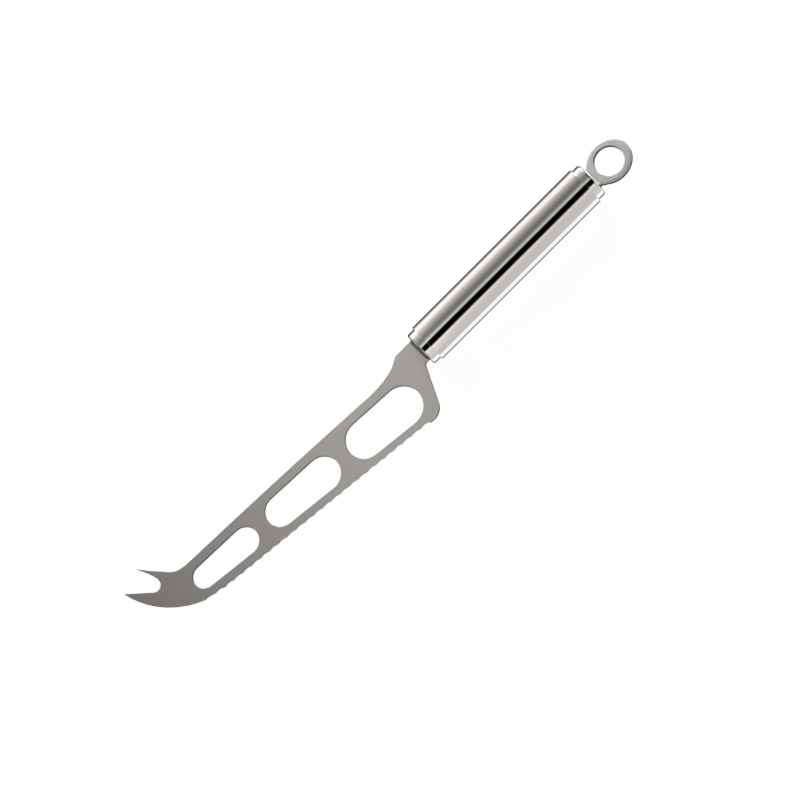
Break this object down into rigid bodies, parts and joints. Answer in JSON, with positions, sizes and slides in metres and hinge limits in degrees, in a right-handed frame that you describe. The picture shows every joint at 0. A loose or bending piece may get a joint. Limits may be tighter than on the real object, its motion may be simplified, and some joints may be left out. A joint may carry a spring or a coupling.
{
  "type": "cheese knife",
  "caption": "Steel cheese knife with a forked tip, windowed blade serrated on one side, round tube handle and flat hanging ring.",
  "frame": {"origin": "middle of the hanging hole, halfway through the ring's thickness", "axes": "+X along the handle's axis, away from the fork; +Y towards the blade's back, with the cutting edge at -Y; +Z out of the plain face of the blade, the one without the ground bevel"},
  "size_m": [0.295, 0.0483, 0.019],
  "materials": {
    "blade_steel": "satin, finely ground along the blade",
    "cap_steel": "polished",
    "tube_steel": "polished, with faint grinding lines round the tube",
    "ring_steel": "satin",
    "pin_steel": "turned",
    "weld_steel": "dressed weld",
    "bond_cement": "cured cement"
  },
  "bodies": {
    "root": {"blade": "blade_steel", "front_cap": "cap_steel", "tang_pin": "pin_steel", "front_weld_bead": "weld_steel", "front_bond_ring": "bond_cement", "handle_tube": "tube_steel", "rear_bond_ring": "bond_cement", "rear_cap": "cap_steel", "shank_pin": "pin_steel", "rear_weld_bead": "weld_steel", "hanging_ring": "ring_steel"}
  },
  "joints": []
}
